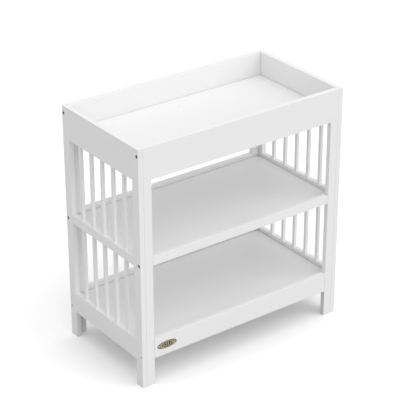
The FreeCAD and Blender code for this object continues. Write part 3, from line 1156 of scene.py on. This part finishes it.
@dataclass
class Badge:
    """The oval badge: a plate with a rolled rim, a beaded border and a leaf sprig, and its pins."""

    rim_width: float = 2.2 * MM
    rim_start: float = 0.12         # how far round its half turn the rim's roll begins
    edge_height: float = 0.35       # the outline's height, of the field's
    close_reach: float = 1.25       # how far in the closely set rings go, in rim widths
    rings: int = 26
    segments: int = 96
    dome: float = 0.15 * MM
    bead_radius: float = 0.42 * MM
    bead_count: int = 84
    bead_inset: float = 3.4 * MM
    bead_segments: int = 10
    bead_rings: int = 6
    border_steps: int = 256
    leaf_length: float = 8.2 * MM
    leaf_width: float = 4.4 * MM
    leaf_rise: float = 0.42 * MM
    leaf_sink: float = 0.1 * MM     # how deep a leaf's edge lies in the field
    leaf_steps: int = 10
    leaf_fullness: float = 0.8      # below 1 the leaf's outline is blunter
    leaf_crease: float = 0.4        # the middle's height, of the ridges'
    leaf_pairs: int = 3
    leaf_pitch: float = 9.4 * MM
    stem_start: float = 2 * MM      # from the middle to the first pair
    splay: float = 46.0             # the first pair's angle to the stem, in degrees
    splay_step: float = 8.0         # how much each further pair closes
    shrink_step: float = 0.12       # how much smaller each further pair is
    end_leaf_size: float = 0.6
    panel_share: float = 0.64       # how far out the dark panel behind the sprig reaches
    panel_wear: float = 0.08
    field_wear: float = 0.56
    rim_wear: float = 0.85
    bead_wear: float = 0.75
    pin_wear: float = 0.6
    leaf_wear: tuple[float, ...] = (0.35, 1.0, 0.55, 1.0, 0.35)    # across a leaf, edge to edge
    pin_radius: float = 0.8 * MM
    pin_rise: float = 0.4 * MM
    pin_segments: int = 20
    edge_angle: float = 50.0        # edges of the plate over this many degrees stay sharp
    finish: AntiqueBrass = field(default_factory=AntiqueBrass)

    def frame_of(self) -> tuple[Vector, float, float, float, float]:
        """The badge's place and size.

        Returns:
            The centre on the apron's face, the half length, the half height, and how far the rim
            and the field stand off the face.
        """
        low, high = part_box("badge_plate")
        centre = Vector(((low.x + high.x) / 2, high.y, (low.z + high.z) / 2))
        field_rise = high.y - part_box("badge_pins")[0].y - self.pin_rise
        return centre, (high.x - low.x) / 2, (high.z - low.z) / 2, high.y - low.y, field_rise

    def to_face(self, centre: Vector) -> Matrix:
        """A matrix from the badge's own plane, with Z out of it, to the apron's face."""
        return Matrix.Translation(centre) @ Matrix.Rotation(math.pi / 2, 4, "X")

    def height_at(self, inward: float, rim: float, floor: float) -> float:
        """The plate's height at a distance inside its outline.

        Args:
            inward: the distance from the outline.
            rim: the rim's height.
            floor: the field's height.

        Returns:
            The height above the apron's face.
        """
        if inward >= self.rim_width:
            return floor
        share = inward / self.rim_width
        roll = math.sin(math.pi * (self.rim_start + (1 - self.rim_start) * share))
        base = floor * min(1.0, self.edge_height + 2 * share)
        return base + (rim - floor) * max(0.0, roll)

    def plate_rings(self) -> list[tuple[float, float, float, float]]:
        """The sizes of the plate's rings, from the outline in.

        Returns:
            The half length, the half height, the height above the apron and the wear of each.
        """
        _, half_length, half_height, rim, floor = self.frame_of()
        rings = [(half_length, half_height, 0.0, 0.0)]
        close = self.rings // 2
        for i in range(close):
            inward = self.rim_width * self.close_reach * i / close
            z = self.height_at(inward, rim, floor)
            worn = self.rim_wear * max(0.0, (z - floor) / (rim - floor))
            rings.append((half_length - inward, half_height - inward, z, worn))
        last_length, last_height = rings[-1][:2]
        wide = self.rings - close
        for share in (1 - (i + 1) / wide for i in range(wide - 1)):
            worn = self.panel_wear if share < self.panel_share else self.field_wear
            rings.append((last_length * share, last_height * share,
                          floor + self.dome * (1 - share * share), worn))
        return rings

    def plate(self) -> Piece:
        """The plate, with its relief attribute."""
        work = bmesh.new()
        relief = work.verts.layers.float.new(self.finish.relief_attribute)
        rings = []
        for half_length, half_height, z, worn in self.plate_rings():
            rings.append([work.verts.new((x, y, z))
                          for x, y in oval(half_length, half_height, self.segments)])
            for vert in rings[-1]:
                vert[relief] = worn
        join_rings(work, rings)
        cap_rings(work, rings)
        bmesh.ops.recalc_face_normals(work, faces=work.faces)
        bmesh.ops.transform(work, verts=work.verts, matrix=self.to_face(self.frame_of()[0]))
        mesh = mesh_from(work, "badge_plate_oval")
        crisp(mesh, self.edge_angle)
        return install(new_object("badge_plate_oval", mesh), self.finish, "badge_plate")

    def bead_tree(self) -> Grower:
        """The rule for the border: domes set evenly along an oval."""
        grower = Grower("bead_border")
        sheet = grower.sheet
        count, radius, half_sizes = grower.inputs(Count="Int", Bead_Radius="Float",
                                                  Half_Sizes="Vector")
        circle = sheet.out("GeometryNodeCurvePrimitiveCircle", "Curve",
                           {"Resolution": self.border_steps, "Radius": 1.0})
        track = sheet.out("GeometryNodeTransform", "Geometry", {"Geometry": circle, "Scale": half_sizes})
        even = sheet.out("GeometryNodeResampleCurve", "Curve", {"Curve": track, "Count": count})
        bead = sheet.out("GeometryNodeMeshUVSphere", "Mesh",
                         {"Segments": self.bead_segments, "Rings": self.bead_rings,
                          "Radius": radius})
        grower.end(grower.copies(even, bead))
        return grower

    def border(self) -> Piece:
        """The beads inside the rim."""
        centre, half_length, half_height, _, floor = self.frame_of()
        piece = self.bead_tree().grow("badge_bead_border", self.finish, Count=self.bead_count,
                                      Bead_Radius=self.bead_radius,
                                      Half_Sizes=Vector((half_length - self.bead_inset,
                                                         half_height - self.bead_inset, 1.0)))
        piece.data.transform(self.to_face(centre - Vector((0, floor, 0))))
        self.wear(piece, self.bead_wear)
        return install(piece, self.finish)

    def leaf(self) -> Piece:
        """One leaf, lying along X from the origin, with a crease along its middle."""
        work = bmesh.new()
        relief = work.verts.layers.float.new(self.finish.relief_attribute)
        rows = []
        for i in range(self.leaf_steps + 1):
            along = i / self.leaf_steps
            swell = math.sin(math.pi * along)
            half = self.leaf_width / 2 * swell ** self.leaf_fullness
            rise = self.leaf_rise * swell
            section = ((-half, -self.leaf_sink), (-half / 2, rise), (0, rise * self.leaf_crease),
                       (half / 2, rise), (half, -self.leaf_sink))
            rows.append([work.verts.new((self.leaf_length * along, y, z)) for y, z in section])
            for vert, worn in zip(rows[-1], self.leaf_wear):
                vert[relief] = worn
        join_rings(work, rows)
        mesh = mesh_from(work, "leaf")
        face_outwards(mesh)
        return new_object("leaf_pattern", mesh)

    def sprig_tree(self) -> Grower:
        """The rule for the sprig: leaves at points, turned and scaled as the points say."""
        grower = Grower("leaf_sprig")
        sheet = grower.sheet
        pattern, = grower.inputs(Leaf="Object")
        leaf = sheet.out("GeometryNodeObjectInfo", "Geometry", {"Object": pattern})
        turn = sheet.out("ShaderNodeCombineXYZ", "Vector", {"Z": grower.attribute("turn", "FLOAT")})
        grower.end(grower.copies(grower.entry.outputs[0], leaf, Rotation=turn,
                                 Scale=grower.attribute("size", "FLOAT")))
        return grower

    def sprig(self) -> Piece:
        """A sprig of paired leaves, the same to the left and the right of the middle."""
        centre, _, _, _, floor = self.frame_of()
        points, turns, sizes = [], [], []
        for way in (-1, 1):
            for pair in range(self.leaf_pairs):
                for lean in (-1, 1):
                    points.append((way * (self.stem_start + pair * self.leaf_pitch), 0, self.dome))
                    splay = math.radians(self.splay - self.splay_step * pair) * lean
                    turns.append(splay if way > 0 else math.pi - splay)
                    sizes.append(1.0 - self.shrink_step * pair)
            points.append((way * (self.stem_start + self.leaf_pairs * self.leaf_pitch), 0,
                           self.dome / 2))
            turns.append(0.0 if way > 0 else math.pi)
            sizes.append(self.end_leaf_size)
        mesh = bpy.data.meshes.new("sprig_points")
        mesh.from_pydata(points, [], [])
        for name, values in (("turn", turns), ("size", sizes)):
            mesh.attributes.new(name, "FLOAT", "POINT").data.foreach_set("value", values)
        pattern = self.leaf()
        piece = self.sprig_tree().grow("badge_leaf_sprig", self.finish, mesh, Leaf=pattern)
        remove(pattern)
        piece.data.transform(self.to_face(centre - Vector((0, floor, 0))))
        return install(piece, self.finish)

    def pins(self) -> Piece:
        """The two domed pins that hold the plate."""
        low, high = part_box("badge_pins")
        radius, rise, length = (high.z - low.z) / 2, self.pin_rise, high.y - low.y
        profile = [(0, -length), (self.pin_radius - 0.1 * MM, 1 * MM - length), (self.pin_radius, -rise),
                   (radius, -rise), (radius, -rise * 0.5), (radius * 0.8, -rise * 0.15),
                   (radius * 0.4, 0), (0, 0)]
        work = bmesh.new()
        for x in (low.x + radius, high.x - radius):
            mesh = lathe_mesh("pin", profile, self.pin_segments)
            mesh.transform(looking_along(Vector((x, low.y, (low.z + high.z) / 2)), Vector((0, -1, 0))))
            work.from_mesh(mesh)
            bpy.data.meshes.remove(mesh)
        pins = mesh_from(work, "badge_pin_pair")
        crisp(pins)
        piece = new_object("badge_pin_pair", pins)
        self.wear(piece, self.pin_wear)
        return install(piece, self.finish, "badge_pins")

    def wear(self, piece: Piece, amount: float) -> None:
        """Say how rubbed a whole piece is."""
        layer = piece.data.attributes.new(self.finish.relief_attribute, "FLOAT", "POINT")
        layer.data.foreach_set("value", [amount] * len(piece.data.vertices))

    def build(self) -> None:
        """Make the plate, its border and sprig, and the pins."""
        self.plate()
        self.border()
        self.sprig()
        self.pins()


@dataclass
class HiddenJoints:
    """What holds the joints inside the boards: dowels and threaded inserts."""

    finishes: dict[str, Finish] = field(default_factory=lambda: {"dowels": BareBeech(),
                                                                 "insert_nuts": ZincSteel()})

    def build(self) -> None:
        """Dress the CAD nodes, which already have the right shape."""
        for node, finish in self.finishes.items():
            refinish(node, finish)


# ---- Studio --------------------------------------------------------------------------------

def towards(azimuth: float, elevation: float) -> Vector:
    """The direction at an azimuth from the front towards the right, and an elevation, in degrees."""
    around, up = math.radians(azimuth), math.radians(elevation)
    return Vector((math.sin(around) * math.cos(up), -math.cos(around) * math.cos(up), math.sin(up)))


def turn_to(lamp_or_camera: Piece, away: Vector) -> None:
    """Turn a lamp or camera to look back along a direction."""
    lamp_or_camera.rotation_euler = away.to_track_quat("Z", "Y").to_euler()


@dataclass(frozen=True)
class SoftLight:
    """A broad, even light from one direction, as from a large diffuser far away."""

    name: str
    azimuth: float       # degrees from the front towards the right
    elevation: float
    spread: float        # how wide it looks from the table, in degrees
    strength: float

    def build(self) -> None:
        """Hang the light."""
        data = bpy.data.lights.new(self.name, "SUN")
        data.angle = math.radians(self.spread)
        data.energy = self.strength
        turn_to(new_object(self.name, data), towards(self.azimuth, self.elevation))


@dataclass
class Studio:
    """The floor, the light and the camera."""

    camera_azimuth: float = -36.71       # degrees from the front towards the right
    camera_elevation: float = 27.05
    camera_distance: float = 5.542
    camera_aim: Point = (0.0156, -0.001, 0.4737)
    lens: float = 133.05                 # millimetres, on a sensor this wide
    sensor: float = 36.0
    floor_size: float = 400.0
    # painted light: the floor glows faintly, so its shadows read lighter
    floor_glow: float = 0.08
    bounce_shade: float = 0.53           # the grey card that sends light back up
    bounce_depth: float = 1 * MM         # how far the card lies under the floor
    sky: float = 0.755
    lights: tuple[SoftLight, ...] = (SoftLight("left_diffuser", -35.0, 25.0, 50.0, 0.30),
                                     SoftLight("right_diffuser", 35.0, 25.0, 50.0, 0.78),
                                     SoftLight("overhead_diffuser", 0.0, 78.0, 60.0, 0.71))

    def build(self) -> None:
        """Set up the whole studio."""
        self.floor()
        self.light()
        self.camera()

    def floor(self) -> None:
        """A plain white floor that shows and takes shadow, its shadows lifted by a faint painted glow,
        over a grey card that lights from below.
        """
        floor = self.sheet_at("studio_floor", 0.0, StudioFloor(glow=self.floor_glow))
        floor.visible_diffuse = False
        floor.visible_glossy = False
        floor.visible_shadow = False
        card = self.sheet_at("bounce_card", -self.bounce_depth, StudioFloor(self.bounce_shade))
        card.visible_camera = False

    def sheet_at(self, name: str, height: float, finish: StudioFloor) -> Piece:
        """Lay a wide level sheet.

        Args:
            name: the sheet's name.
            height: its height.
            finish: its finish.

        Returns:
            The sheet.
        """
        half = self.floor_size / 2
        mesh = bpy.data.meshes.new(name)
        mesh.from_pydata([(-half, -half, height), (half, -half, height), (half, half, height),
                          (-half, half, height)], [], [(0, 1, 2, 3)])
        mesh.materials.append(finish.material())
        sheet = new_object(name, mesh)
        return sheet

    def light(self) -> None:
        """An even white sky and the soft lights."""
        world = bpy.data.worlds.new("white_sky")
        world.use_nodes = True
        background = world.node_tree.nodes["Background"]
        background.inputs["Color"].default_value = (1, 1, 1, 1)
        background.inputs["Strength"].default_value = self.sky
        bpy.context.scene.world = world
        bpy.context.scene.view_settings.view_transform = "Standard"
        for light in self.lights:
            light.build()

    def camera(self) -> None:
        """The camera, aimed at the table from its left front corner."""
        away = towards(self.camera_azimuth, self.camera_elevation)
        data = bpy.data.cameras.new("camera")
        data.lens = self.lens
        data.sensor_width = self.sensor
        camera = new_object("camera", data)
        camera.location = Vector(self.camera_aim) + away * self.camera_distance
        turn_to(camera, away)
        bpy.context.scene.camera = camera


def main() -> None:
    """Build the table piece by piece, then the studio around it."""
    logging.basicConfig(level=logging.INFO, format="%(name)s: %(message)s")
    bolts = ConnectorBolts()
    fasteners = BoltWork()
    EndFrames(bolts).build()
    SlatRows().build()
    LongMembers().build()
    Panels().build()
    Cleats().build(fasteners)
    bolts.build(fasteners)
    HiddenJoints().build()
    Badge().build()
    Studio().build()


if __name__ == "__main__":
    main()
